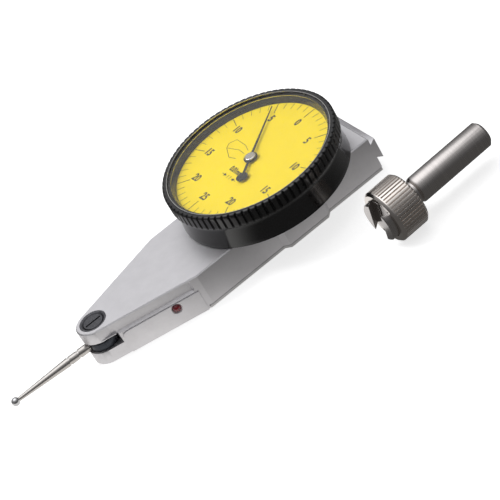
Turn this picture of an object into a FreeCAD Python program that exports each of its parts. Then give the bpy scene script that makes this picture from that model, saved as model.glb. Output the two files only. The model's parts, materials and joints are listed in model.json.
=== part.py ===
import FreeCAD, Part
import math
import os
import Sketcher
from FreeCAD import Placement, Rotation, Vector

# Dial test indicator with a detached dovetail stem.  Millimetres, +Z is the
# dial's normal, the origin is on the dial axis at the rest face of the back
# cover, the stylus points to -X and the rear dovetail to +X.

os.makedirs("parts", exist_ok=True)
doc = FreeCAD.newDocument("DialTestIndicator")
sheet = doc.addObject("Spreadsheet::Sheet", "Sizes")
nodes = []


class Size:
    """A number together with the spreadsheet expression that gives it."""

    def __init__(self, value, text):
        self.value, self.text = float(value), text

    def join(self, other, sign, value):
        text = other.text if isinstance(other, Size) else repr(float(other))
        return Size(value, "(%s %s %s)" % (self.text, sign, text))

    def __add__(self, other):
        return self.join(other, "+", self.value + number(other))

    def __sub__(self, other):
        return self.join(other, "-", self.value - number(other))

    def __mul__(self, other):
        return self.join(other, "*", self.value * number(other))

    def __truediv__(self, other):
        return self.join(other, "/", self.value / number(other))

    def __neg__(self):
        return Size(-self.value, "(-1 * %s)" % self.text)


def number(size):
    return size.value if isinstance(size, Size) else float(size)


def size(name, value):
    row = size.rows = size.rows + 1
    sheet.set("A%d" % row, name)
    sheet.set("B%d" % row, str(value))
    sheet.setAlias("B%d" % row, name)
    return Size(value, "Sizes." + name)


size.rows = 0

# Main body
body_top = size("body_top_height", 8.8)
half_width = size("body_half_width", 10.7)
rear_face = size("rear_face_reach", 21.0)
shoulder = size("shoulder_reach", 25.4)
pivot_reach = size("pivot_reach", 46.85)
nose_radius = size("nose_radius", 4.05)
edge_break = size("edge_break", 0.25)
cover_thick = size("cover_thickness", 0.85)
cover_inset = size("cover_inset", 0.08)
cover_front = size("cover_front_reach", 26.3)
pad_outer = size("side_pad_height", 1.2)
pad_length = size("side_pad_length", 10.2)
side_wall = size("side_wall", 1.5)
top_wall = size("top_wall", 1.3)
end_wall = size("end_wall", 1.6)
post_radius = size("corner_post_radius", 1.7)
post_inset = size("corner_post_inset", 2.6)
post_thread = size("corner_post_thread_depth", 4.2)

# Rear dovetail, running across the body
tail_depth = size("dovetail_depth", 1.35)
tail_low = size("dovetail_lip_bottom", 2.7)
tail_lip = size("dovetail_lip_width", 5.2)
tail_flank = size("dovetail_flank_rise", 0.85)

# Nose: fork slot, side recess and rail
slot_low = size("slot_floor", 3.1)
slot_high = size("slot_roof", 5.8)
slot_back = size("slot_back_from_pivot", 2.35)
tunnel_width = size("tunnel_half_width", 2.0)
recess_depth = size("side_recess_depth", 0.6)
recess_low = size("side_recess_floor", 5.95)
recess_slope = size("side_recess_slope", 0.65)
recess_high = size("side_recess_roof", 8.4)
recess_end = size("side_recess_end", 21.2)
rail_out = size("rail_standout", 0.25)
rail_start = size("rail_start_from_pivot", 4.1)
rail_end = size("rail_end_from_pivot", 22.3)
rail_corner = size("rail_corner_radius", 1.1)
seal_along = size("side_jewel_from_pivot", 16.6)
seal_height = size("side_jewel_height", 4.1)
seal_radius = size("side_jewel_radius", 0.9)
seal_sink = size("side_jewel_sink_radius", 1.25)

# Pivot and stylus
bush_radius = size("pivot_bush_radius", 3.1)
head_radius = size("pivot_head_radius", 2.2)
head_thick = size("pivot_head_thickness", 0.7)
pin_radius = size("pivot_pin_radius", 0.95)
run_fit = size("running_clearance", 0.05)
holder_radius = size("holder_radius", 3.55)
holder_low = size("holder_bottom", 3.2)
holder_thick = size("holder_thickness", 1.9)
holder_room = size("holder_clearance", 0.15)
washer_thick = size("friction_washer_thickness", 0.1)
washer_radius = size("friction_washer_radius", 2.6)
stylus_yaw = size("stylus_yaw_degrees", 3.0)
stylus_height = size("stylus_axis_height", 4.2)
stylus_reach = size("stylus_reach", 22.5)
thread_radius = size("stylus_thread_radius", 0.6)
thread_length = size("stylus_thread_length", 2.0)
collar_radius = size("stylus_collar_radius", 1.0)
collar_first = size("stylus_first_collar", 2.6)
collar_second = size("stylus_second_collar", 2.1)
groove_width = size("stylus_groove_width", 0.3)
groove_depth = size("stylus_groove_depth", 0.2)
shank_tip = size("stylus_tip_radius", 0.46)
ball_radius = size("ball_radius", 0.95)

# Lever and gear train
lever_low = size("lever_bottom", 5.2)
lever_thick = size("lever_thickness", 0.45)
lever_hub = size("lever_hub_radius", 3.3)
lever_half = size("lever_half_width", 1.3)
gear_module = size("gear_module", 0.2)
pinion_teeth = size("train_pinion_teeth", 12)
wheel_teeth = size("train_wheel_teeth", 72)
centre_teeth = size("centre_pinion_teeth", 8)
sector_teeth = size("sector_teeth", 9)
sector_rim = size("sector_rim_width", 1.6)
arbor_radius = size("arbor_radius", 0.35)
centre_arbor = size("centre_arbor_radius", 0.45)
wheel_low = size("train_wheel_bottom", 6.35)
wheel_thick = size("train_wheel_thickness", 0.3)
pinion_low = size("train_pinion_bottom", 4.7)
pinion_long = size("train_pinion_length", 1.5)
bridge_low = size("bridge_bottom", 1.25)
bridge_thick = size("bridge_thickness", 0.8)
bridge_front = size("bridge_front_reach", 15.6)
bridge_rear = size("bridge_rear_reach", 7.6)
bridge_half = size("bridge_half_width", 8.4)
pillar_radius = size("bridge_pillar_radius", 0.95)
jewel_radius = size("jewel_radius", 0.8)
jewel_thick = size("jewel_thickness", 0.5)
spring_low = size("hairspring_bottom", 3.1)
spring_high = size("hairspring_height", 0.3)
spring_wire = size("hairspring_wire", 0.09)
spring_inner = size("hairspring_inner_radius", 1.0)
spring_outer = size("hairspring_outer_radius", 4.3)
spring_turns = size("hairspring_turns", 5)
collet_radius = size("collet_radius", 0.9)

# Dial base, bezel, dial and crystal: the radii step inwards from the knurl
knurl_radius = size("knurl_radius", 20.0)
base_radius = knurl_radius - size("bezel_wall", 2.0)
base_floor = size("dial_base_floor", 1.1)
base_wall = size("dial_base_wall", 1.4)
base_high = size("dial_base_height", 5.0)
bezel_fit = size("bezel_clearance", 0.1)
bezel_lift = size("bezel_lift", 0.15)
skirt_foot = knurl_radius - size("skirt_foot_step", 0.35)
skirt_neck = knurl_radius - size("skirt_neck_step", 0.75)
skirt_high = size("skirt_height", 5.55)
knurl_teeth = size("knurl_teeth", 80)
knurl_depth = size("knurl_depth", 0.4)
knurl_mouth = size("knurl_groove_width", 0.62)
bezel_top = size("bezel_top_above_body", 9.15)
rim_break = size("rim_break", 0.4)
rim_inner = knurl_radius - size("rim_width", 1.07)
sight_radius = rim_inner - size("crystal_seat_width", 0.83)
sight_foot = sight_radius - size("sight_wall_taper", 0.6)
crystal_seat = size("crystal_seat_below_top", 0.95)
crystal_thick = size("crystal_thickness", 0.45)
crystal_fit = size("crystal_clearance", 0.02)
trim_wall = size("crystal_ring_thickness", 0.12)
dial_above = size("dial_face_above_body", 6.7)
dial_thick = size("dial_thickness", 0.4)
dial_radius = sight_foot + size("dial_seat_width", 0.55)
clamp_high = size("dial_clamp_height", 0.9)
clamp_inner = dial_radius - size("dial_clamp_width", 1.25)
wire_radius = size("retaining_wire_radius", 0.4)
wire_above = size("retaining_wire_above_body", 3.5)

# Pointer
pointer_turn = size("pointer_turn_degrees", 39.3)
pointer_gap = size("pointer_above_dial", 0.5)
pointer_thick = size("pointer_thickness", 0.15)
pointer_long = sight_foot - size("pointer_end_gap", 1.2)
pointer_root = size("pointer_root_half_width", 0.32)
pointer_tip = size("pointer_tip_half_width", 0.09)
tail_long = size("pointer_tail_length", 6.1)
weight_radius = size("counterweight_radius", 1.35)
cap_radius = size("pointer_cap_radius", 1.3)
cap_high = size("pointer_cap_height", 0.35)

# Screws
cover_screw = size("cover_screw_radius", 0.7)
cover_head = size("cover_screw_head_radius", 1.25)
base_screw = size("base_screw_radius", 0.6)
base_head = size("base_screw_head_radius", 1.1)
base_along = size("base_screw_along", 11.4)
base_across = size("base_screw_across", 5.2)
screw_slot = size("screw_slot_width", 0.35)

# Detached stem
stem_x = size("stem_ring_front_x", 8.93)
stem_y = size("stem_offset_y", 32.09)
stem_yaw = size("stem_yaw_degrees", 2.7)
stem_roll = size("stem_roll_degrees", 18.6)
shaft_radius = size("shaft_radius", 3.0)
shaft_end = size("shaft_end", 27.8)
shaft_start = size("shaft_start", 8.5)
shaft_break = size("shaft_chamfer", 0.6)
stem_neck = size("stem_neck_radius", 2.5)
ring_radius = size("clamp_ring_radius", 6.1)
ring_long = size("clamp_ring_length", 7.0)
ring_break = size("clamp_ring_chamfer", 0.5)
ring_teeth = size("clamp_ring_teeth", 48)
ring_depth = size("clamp_ring_knurl_depth", 0.35)
ring_step = size("clamp_ring_step", 3.4)
jaw_radius = size("jaw_radius", 4.5)
jaw_out = size("jaw_standout", 1.5)
jaw_slit = size("jaw_slit_width", 0.5)
stem_thread = size("stem_thread_radius", 3.5)
channel_fit = size("channel_clearance", 0.12)

doc.recompute()

# Places that several pieces share
flank_angle = math.degrees(
    math.acos(nose_radius.value
              / math.hypot(half_width.value,
                           pivot_reach.value - shoulder.value))
    - math.atan2(pivot_reach.value - shoulder.value, half_width.value))
train_gap = gear_module * (wheel_teeth + centre_teeth) / 2
train_x = -train_gap
pinion_pitch = gear_module * pinion_teeth / 2
sector_pitch = pivot_reach - train_gap - pinion_pitch
cavity_roof = body_top - top_wall
dial_face = body_top + dial_above
bezel_high = body_top + bezel_top
lever_high = lever_low + lever_thick
post_spots = [(sx, sy) for sx in (-1, 1) for sy in (-1, 1)]


# ---------------------------------------------------------------- helpers

def bind(obj, prop, value):
    if isinstance(value, Size):
        obj.setExpression(prop, value.text)
    elif "." in prop:
        obj.setExpression(prop, repr(float(value)))
    else:
        setattr(obj, prop, value)


def place(obj, x=0, y=0, z=0, turn=None):
    if turn is not None:
        obj.Placement = Placement(Vector(), turn)
    for axis, value in (("x", x), ("y", y), ("z", z)):
        if isinstance(value, Size) or value:
            bind(obj, "Placement.Base." + axis, value)
    return obj


def new(kind, name, **props):
    obj = doc.addObject(kind, name)
    for prop, value in props.items():
        bind(obj, prop, value)
    return obj


def cylinder(name, radius, high, x=0, y=0, z=0, turn=None):
    return place(new("Part::Cylinder", name, Radius=radius, Height=high),
                 x, y, z, turn)


def cone(name, low, top, high, x=0, y=0, z=0, turn=None):
    return place(new("Part::Cone", name, Radius1=low, Radius2=top,
                     Height=high), x, y, z, turn)


def box(name, length, width, height, x=0, y=0, z=0, turn=None):
    return place(new("Part::Box", name, Length=length, Width=width,
                     Height=height), x, y, z, turn)


def fuse(name, *shapes):
    obj = doc.addObject("Part::MultiFuse", name)
    obj.Shapes = list(shapes)
    return obj


def cut(name, base, *tools):
    obj = doc.addObject("Part::Cut", name)
    obj.Base = base
    obj.Tool = tools[0] if len(tools) == 1 else fuse(name + "_tools", *tools)
    return obj


def group(name, *shapes):
    obj = doc.addObject("Part::Compound", name)
    obj.Links = list(shapes)
    return obj


def node(obj, name):
    """Marks an object as a finished sub-part with its node name."""
    obj.Label = name
    nodes.append((name, obj))
    return obj


def new_body(name):
    body = doc.addObject("PartDesign::Body", name)
    return node(body, name)


def plane(body, role):
    return next(f for f in body.Origin.OriginFeatures if f.Role == role)


def sketch(body, role, name, offset=None):
    """A sketch on one of the body's own origin planes."""
    sk = body.newObject("Sketcher::SketchObject", name)
    sk.AttachmentSupport = [(plane(body, role), "")]
    sk.MapMode = "FlatFace"
    if isinstance(offset, Placement):
        sk.AttachmentOffset = offset
    elif offset is not None:
        bind(sk, "AttachmentOffset.Base.z", offset)
    return sk


def pin_point(sk, geo, pos, point):
    """Holds a sketch point at sheet-driven distances from the origin."""
    for kind, value in zip(("DistanceX", "DistanceY"), point):
        index = sk.addConstraint(
            Sketcher.Constraint(kind, -1, 1, geo, pos, number(value)))
        if isinstance(value, Size):
            sk.setExpression("Constraints[%d]" % index, value.text)


def outline(sk, points):
    """A closed outline of straight sides, each corner held by the sheet."""
    flat = [Vector(number(x), number(y), 0) for x, y in points]
    first = None
    for i, start in enumerate(flat):
        geo = sk.addGeometry(
            Part.LineSegment(start, flat[(i + 1) % len(flat)]), False)
        if first is None:
            first = geo
        else:
            sk.addConstraint(
                Sketcher.Constraint("Coincident", geo - 1, 2, geo, 1))
        pin_point(sk, geo, 1, points[i])
    sk.addConstraint(
        Sketcher.Constraint("Coincident", first + len(flat) - 1, 2, first, 1))
    return sk


def ring(sk, radius, x=0, y=0):
    """A circle with its centre and radius held by the sheet."""
    geo = sk.addGeometry(
        Part.Circle(Vector(number(x), number(y), 0), Vector(0, 0, 1),
                    number(radius)), False)
    pin_point(sk, geo, 3, (x, y))
    index = sk.addConstraint(
        Sketcher.Constraint("Radius", geo, number(radius)))
    if isinstance(radius, Size):
        sk.setExpression("Constraints[%d]" % index, radius.text)
    return sk


def pad(body, sk, length, name, back=False):
    feature = body.newObject("PartDesign::Pad", name)
    feature.Profile = sk
    feature.Reversed = back
    bind(feature, "Length", length)
    return feature


def pocket(body, sk, length, name, back=False):
    feature = body.newObject("PartDesign::Pocket", name)
    feature.Profile = sk
    feature.Reversed = back
    bind(feature, "Length", length)
    return feature


def revolve(body, sk, name, kind="Revolution"):
    feature = body.newObject("PartDesign::" + kind, name)
    feature.Profile = sk
    feature.ReferenceAxis = (sk, ["V_Axis"])
    feature.Angle = 360.0
    return feature


def turned(name, points, node_name=None):
    """A body of revolution about Z from its half section (radius, height)."""
    body = new_body(node_name or name)
    sk = outline(sketch(body, "XZ_Plane", name + "_section"), points)
    revolve(body, sk, name + "_turned")
    return body


def around(body, feature, count, name):
    pattern = body.newObject("PartDesign::PolarPattern", name)
    pattern.Originals = [feature]
    pattern.Axis = (feature.Profile[0], ["N_Axis"])
    pattern.Angle = 360.0
    bind(pattern, "Occurrences", count)
    body.Tip = pattern
    return pattern


def mirrored(body, feature, role, name):
    mirror = body.newObject("PartDesign::Mirrored", name)
    mirror.Originals = [feature]
    mirror.MirrorPlane = (plane(body, role), [""])
    body.Tip = mirror
    return mirror


def bore(body, name, radius, depth, x=0, y=0, z=0):
    """A plain hole of a body, cut upward from its lower end."""
    feature = body.newObject("PartDesign::SubtractiveCylinder", name)
    bind(feature, "Radius", radius)
    bind(feature, "Height", depth)
    return place(feature, x, y, z)


def countersink(body, name, low, top, high, x=0, y=0, z=0):
    feature = body.newObject("PartDesign::SubtractiveCone", name)
    bind(feature, "Radius1", low)
    bind(feature, "Radius2", top)
    bind(feature, "Height", high)
    return place(feature, x, y, z)


def break_edges(body, feature, width, pick, name):
    """Chamfers the edges of a feature that the test picks."""
    doc.recompute()
    edges = ["Edge%d" % (i + 1)
             for i, edge in enumerate(feature.Shape.Edges) if pick(edge)]
    chamfer = body.newObject("PartDesign::Chamfer", name)
    chamfer.Base = (feature, edges)
    bind(chamfer, "Size", width)
    return chamfer


def at_height(height):
    return lambda edge: all(abs(v.Point.z - number(height)) < 1e-4
                            for v in edge.Vertexes)


def flank_offset(depth):
    """A sketch frame on the nose's -Y flank, at a depth from the pivot."""
    angle = math.radians(flank_angle)
    return Placement(
        Vector(-pivot_reach.value - number(depth) * math.sin(angle), 0,
               number(depth) * math.cos(angle)),
        Rotation(Vector(0, 1, 0), -flank_angle))


def flank_point(along, out):
    """Plan position on the -Y flank: along it from the pivot, and outward."""
    angle = math.radians(flank_angle)
    return (-pivot_reach.value + number(along) * math.cos(angle)
            - number(out) * math.sin(angle),
            -number(along) * math.sin(angle) - number(out) * math.cos(angle))


def gear_outline(sk, teeth, pitch, first=0.0, count=None, root=None):
    """Straight-sided teeth about the origin; part of a ring if count is set.

    first is the angle in degrees of the middle of the first tooth.
    """
    module = gear_module.value
    tip, low = pitch + 0.85 * module, pitch - 1.1 * module
    step = 2 * math.pi / teeth
    total = count or int(round(teeth))
    start = math.radians(first)

    def at(radius, angle):
        return (radius * math.cos(angle), radius * math.sin(angle))

    points = []
    for i in range(total):
        mid = start + i * step
        for radius, share in ((low, -0.31), (tip, -0.13),
                              (tip, 0.13), (low, 0.31)):
            points.append(at(radius, mid + share * step))
    if root is not None:
        last = start + (total - 1) * step
        points += [at(root, last + 0.5 * step), at(root, start - 0.5 * step)]
    flat = [Vector(x, y, 0) for x, y in points]
    for i, corner in enumerate(flat):
        sk.addGeometry(Part.LineSegment(corner, flat[(i + 1) % len(flat)]),
                       False)
        if i:
            sk.addConstraint(Sketcher.Constraint("Coincident", i - 1, 2, i, 1))
    sk.addConstraint(
        Sketcher.Constraint("Coincident", len(flat) - 1, 2, 0, 1))
    return sk


# -------------------------------------------------------------- main body

def body_outline(sk):
    """The plan of the body: round nose, tapering flanks, straight housing."""
    angle = math.radians(flank_angle)
    r, px = nose_radius.value, -pivot_reach.value
    upper = Vector(px - r * math.sin(angle), r * math.cos(angle), 0)
    lower = Vector(upper.x, -upper.y, 0)
    corners = [Vector(-shoulder.value, half_width.value, 0),
               Vector(rear_face.value, half_width.value, 0),
               Vector(rear_face.value, -half_width.value, 0),
               Vector(-shoulder.value, -half_width.value, 0)]
    sk.addGeometry(Part.Arc(upper, Vector(px - r, 0, 0), lower), False)
    chain = [upper] + corners + [lower]
    for i in range(5):
        sk.addGeometry(Part.LineSegment(chain[i], chain[i + 1]), False)
    link = Sketcher.Constraint
    for i in range(1, 5):
        sk.addConstraint(link("Coincident", i, 2, i + 1, 1))
    held = [((-shoulder), half_width), (rear_face, half_width),
            (rear_face, -half_width), ((-shoulder), -half_width)]
    for i, point in enumerate(held):
        pin_point(sk, i + 1, 2, point)
    pin_point(sk, 0, 3, (-pivot_reach, 0))
    index = sk.addConstraint(link("Radius", 0, r))
    sk.setExpression("Constraints[%d]" % index, nose_radius.text)
    ends = ((1, 2), (2, 1)) if sk.Geometry[0].StartPoint.y > 0 else \
           ((2, 2), (1, 1))
    sk.addConstraint(link("Tangent", 0, ends[0][0], 1, 1))
    sk.addConstraint(link("Tangent", 0, ends[1][0], 5, 2))
    return sk


def side_pad_points(inset):
    """The raised pad on the -Y side, in plan."""
    far = half_width + pad_outer - inset
    return [(-(pad_length / 2 + pad_outer) + inset, -(half_width - 1)),
            (-(pad_length / 2 + pad_outer) + inset, -half_width + inset),
            (-(pad_length / 2) + inset * 0.4, -far),
            (pad_length / 2 - inset * 0.4, -far),
            ((pad_length / 2 + pad_outer) - inset, -half_width + inset),
            ((pad_length / 2 + pad_outer) - inset, -(half_width - 1))]


def dovetail_points(grow=0.0):
    """The dovetail's section across its run, outward in x and up in z."""
    root = rear_face - 0.6
    low, high = tail_low - grow, tail_low + tail_lip + grow
    tip = rear_face + tail_depth + grow
    return [(root, low + tail_flank), (rear_face, low + tail_flank),
            (tip, low), (tip, high), (rear_face, high - tail_flank),
            (root, high - tail_flank)]


def post_place(sx, sy):
    x = rear_face - end_wall - post_inset if sx > 0 else \
        -(cover_front - post_inset - end_wall)
    y = (half_width - post_inset) * sy
    return x, y


def build_body_frame():
    body = new_body("body_frame")
    block = pad(body, body_outline(sketch(body, "XY_Plane", "plan")),
                body_top, "block")
    wing = pad(body, outline(sketch(body, "XY_Plane", "pad_plan"),
                             side_pad_points(0)), body_top, "side_pad")
    both = mirrored(body, wing, "XZ_Plane", "side_pads")
    broken = break_edges(body, both, edge_break, at_height(body_top),
                         "top_edges")
    body.Tip = broken

    tail = pad(body, outline(sketch(body, "XZ_Plane", "dovetail_section",
                                    -half_width), dovetail_points()),
               half_width * 2, "dovetail")

    # The rail on each side of the nose, with a rounded front corner
    rail = sketch(body, "XZ_Plane", "rail_side",
                  flank_offset(nose_radius - recess_depth - 0.4))
    low, high = 0, recess_low - recess_slope
    outline(rail, [(rail_start, low), (rail_end, low), (rail_end, high),
                   (rail_start + rail_corner, high),
                   (rail_start + rail_corner * 0.3, high - rail_corner * 0.3),
                   (rail_start, high - rail_corner)])
    rail_pad = pad(body, rail, recess_depth + rail_out + 0.4, "rail")
    mirrored(body, rail_pad, "XZ_Plane", "rails")

    # The recess above the rail: a wall that runs in and out at its ends,
    # then the ledge that slopes down to the rail's face
    recess = sketch(body, "XY_Plane", "recess_plan", recess_low)
    deep, clear = nose_radius - recess_depth, nose_radius + 2
    outline(recess, [flank_point(-1.2, clear), flank_point(-0.4, nose_radius),
                     flank_point(2.4, deep), flank_point(recess_end, deep),
                     flank_point(recess_end + 0.8, nose_radius + rail_out),
                     flank_point(recess_end + 0.8, clear)])
    wall = pocket(body, recess, recess_high - recess_low, "side_recess",
                  back=True)
    mirrored(body, wall, "XZ_Plane", "side_recesses")
    angle = math.radians(flank_angle)
    start = slot_back.value + 0.9
    ledge = sketch(body, "YZ_Plane", "ledge_section", Placement(
        Vector(-start * math.sin(angle), 0,
               -pivot_reach.value + start * math.cos(angle)),
        Rotation(Vector(0, 1, 0), -flank_angle)))
    outline(ledge, [(-deep, recess_low + 0.01), (-clear, recess_low + 0.01),
                    (-clear, recess_low - recess_slope * 2),
                    (-(nose_radius + rail_out), recess_low - recess_slope)])
    slope = pocket(body, ledge, recess_end - start + 0.3, "ledge", back=True)
    mirrored(body, slope, "XZ_Plane", "ledges")

    # The fork's slot, then the tunnel for the lever
    slot = sketch(body, "XZ_Plane", "slot_side", -half_width)
    outline(slot, [(-(pivot_reach + nose_radius * 2), slot_low),
                   (-(pivot_reach - slot_back), slot_low),
                   (-(pivot_reach - slot_back), slot_high),
                   (-(pivot_reach + nose_radius * 2), slot_high)])
    pocket(body, slot, half_width * 2, "fork_slot", back=True)
    bore(body, "holder_room", holder_radius + holder_room,
         slot_high - slot_low, -pivot_reach, 0, slot_low)
    tunnel = sketch(body, "XY_Plane", "tunnel_plan", slot_low)
    outline(tunnel, [(-(pivot_reach - 1.5), tunnel_width),
                     (-(shoulder - 2), half_width - side_wall - 3.4),
                     (-(shoulder - 2), -(half_width - side_wall - 3.4)),
                     (-(pivot_reach - 1.5), -tunnel_width)])
    pocket(body, tunnel, slot_high - slot_low, "tunnel", back=True)

    # The housing's hollow, its corner posts and the cover's rebate
    hollow = sketch(body, "XY_Plane", "hollow_plan")
    inner = half_width - side_wall
    outline(hollow, [(-(cover_front - end_wall), -inner),
                     (rear_face - end_wall, -inner),
                     (rear_face - end_wall, inner),
                     (-(cover_front - end_wall), inner)])
    pocket(body, hollow, cavity_roof, "hollow", back=True)
    posts = sketch(body, "XY_Plane", "post_plan")
    for sx, sy in post_spots:
        ring(posts, post_radius, *post_place(sx, sy))
    pad(body, posts, cavity_roof + 0.2, "posts")
    rebate = sketch(body, "XY_Plane", "rebate_plan")
    wide = half_width + pad_outer + 1
    outline(rebate, [(-cover_front, -wide), (rear_face + 3, -wide),
                     (rear_face + 3, wide), (-cover_front, wide)])
    pocket(body, rebate, cover_thick, "rebate", back=True)

    for sx, sy in post_spots:
        x, y = post_place(sx, sy)
        bore(body, "post_thread", cover_screw, post_thread, x, y, 0)

    # Pivot: bush seat above the slot, thread below it
    bore(body, "bush_seat", bush_radius, body_top - slot_high + 1,
         -pivot_reach, 0, slot_high - 0.5)
    bore(body, "pivot_thread", pin_radius, slot_low, -pivot_reach, 0, 0.7)

    # Bearings of the train in the top wall, and the base's screw threads
    bore(body, "centre_jewel_seat", jewel_radius, top_wall * 2, 0, 0,
         cavity_roof - 0.2)
    bore(body, "train_jewel_seat", jewel_radius, jewel_thick + 0.2,
         train_x, 0, cavity_roof - 0.2)
    for x, y in base_screw_spots():
        bore(body, "base_thread", base_screw, top_wall + 0.4, x, y,
             cavity_roof - 0.2)

    # The jewel's countersunk hole in the near rail
    x, y = flank_point(seal_along, nose_radius + rail_out + 0.01)
    turn = Rotation(Vector(0, 0, 1), Vector(*flank_point(0, 1)[:2], 0)
                    - Vector(*flank_point(0, 0)[:2], 0))
    hole = body.newObject("PartDesign::SubtractiveCylinder", "jewel_hole")
    bind(hole, "Radius", seal_radius)
    hole.Height = 2.4
    hx, hy = flank_point(seal_along, nose_radius + rail_out - 2.4)
    hole.Placement = Placement(Vector(hx, hy, seal_height.value), turn)
    sink = body.newObject("PartDesign::SubtractiveCone", "jewel_sink")
    bind(sink, "Radius1", seal_radius)
    bind(sink, "Radius2", seal_sink)
    sink.Height = 0.35
    sx, sy = flank_point(seal_along, nose_radius + rail_out - 0.34)
    sink.Placement = Placement(Vector(sx, sy, seal_height.value), turn)
    return body


def base_screw_spots():
    return [(base_along * sx, base_across * sy) for sx, sy in post_spots]


def build_side_jewel():
    """A red bead that sits in the near rail's countersunk hole."""
    turn = Rotation(Vector(0, 0, 1), Vector(*flank_point(0, 1)[:2], 0)
                    - Vector(*flank_point(0, 0)[:2], 0))
    x, y = flank_point(seal_along, nose_radius + rail_out - 2.3)
    pin = cylinder("jewel_pin", seal_radius, 1.75, x, y, seal_height, turn)
    x, y = flank_point(seal_along, nose_radius + rail_out - 0.55)
    bead = place(new("Part::Sphere", "jewel_bead", Radius=seal_radius),
                 x, y, seal_height)
    return node(fuse("side_jewel_shape", pin, bead), "side_jewel")


def build_back_cover():
    body = new_body("back_cover")
    sk = sketch(body, "XY_Plane", "cover_plan")
    wing = side_pad_points(cover_inset)[1:5]
    edge, front = half_width - cover_inset, cover_front - cover_inset
    rear = rear_face - cover_inset
    near = [(x, y) for x, y in wing]
    far = [(x, -y) for x, y in reversed(wing)]
    outline(sk, [(-front, -edge)] + near + [(rear, -edge), (rear, edge)]
            + far + [(-front, edge)])
    plate = pad(body, sk, cover_thick, "plate")
    body.Tip = break_edges(body, plate, cover_thick * 0.3,
                           at_height(cover_thick), "plate_edges")
    for sx, sy in post_spots:
        x, y = post_place(sx, sy)
        bore(body, "cover_hole", cover_screw, cover_thick, x, y, 0)
        countersink(body, "cover_sink", cover_head, cover_screw,
                    cover_head - cover_screw, x, y, 0)
    return body


def slotted_screw(name, head, shank, long, x, y, z, down=True):
    """A countersunk slotted screw; z is the plane of its head."""
    sign = -1 if down else 1
    turn = Rotation(Vector(1, 0, 0), 180) if down else Rotation()
    top = cone(name + "_head", head, shank, head - shank, x, y, z, turn)
    stem = cylinder(name + "_shank", shank, long, x, y, z, turn)
    wide, deep = head * 2.2, (head - shank) * 0.55
    low = z - deep if down else z - 0.1
    slot = box(name + "_slot", wide, screw_slot, deep + 0.1,
               x - wide / 2 if isinstance(x, Size) else -wide / 2 + x,
               y - screw_slot / 2 if isinstance(y, Size)
               else -screw_slot / 2 + y, low)
    return cut(name, fuse(name + "_solid", top, stem), slot)


def build_screws():
    covers = []
    for i, (sx, sy) in enumerate(post_spots):
        x, y = post_place(sx, sy)
        covers.append(slotted_screw("cover_screw_%d" % (i + 1),
                                    cover_head - 0.03, cover_screw, 3.6,
                                    x, y, Size(0, "0"), down=False))
    node(group("cover_screw_set", *covers), "cover_screws")
    bases = []
    for i, (x, y) in enumerate(base_screw_spots()):
        bases.append(slotted_screw("base_screw_%d" % (i + 1),
                                   base_head - 0.03, base_screw,
                                   base_floor + top_wall - 0.3, x, y,
                                   body_top + base_floor))
    node(group("base_screw_set", *bases), "base_screws")


# ------------------------------------------------------- pivot and stylus

def build_pivot():
    low = slot_high
    bush = turned("pivot_bush", [
        (pin_radius, low), (bush_radius, low),
        (bush_radius, body_top - 0.12), (bush_radius - 0.12, body_top),
        (bush_radius - 0.45, body_top),
        (head_radius + 0.08, body_top - 0.35),
        (head_radius + 0.08, body_top - head_thick - 0.15),
        (pin_radius, body_top - head_thick - 0.15)])
    place(bush, -pivot_reach)
    screw_top = body_top - 0.15
    head = cylinder("pivot_head", head_radius, head_thick, -pivot_reach, 0,
                    screw_top - head_thick)
    pin = cylinder("pivot_pin", pin_radius, screw_top - 0.9, -pivot_reach, 0,
                   0.9)
    slot = box("pivot_slot", head_radius * 1.7, 0.45, 0.4,
               -(pivot_reach + head_radius * 0.85), -0.225,
               screw_top - 0.35)
    node(cut("pivot_screw_shape", fuse("pivot_screw_solid", head, pin), slot),
         "pivot_screw")


def stylus_frame():
    return Placement(Vector(-pivot_reach.value, 0, stylus_height.value),
                     Rotation(Vector(0, 0, 1), -stylus_yaw.value)
                     * Rotation(Vector(0, 1, 0), -90))


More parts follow.
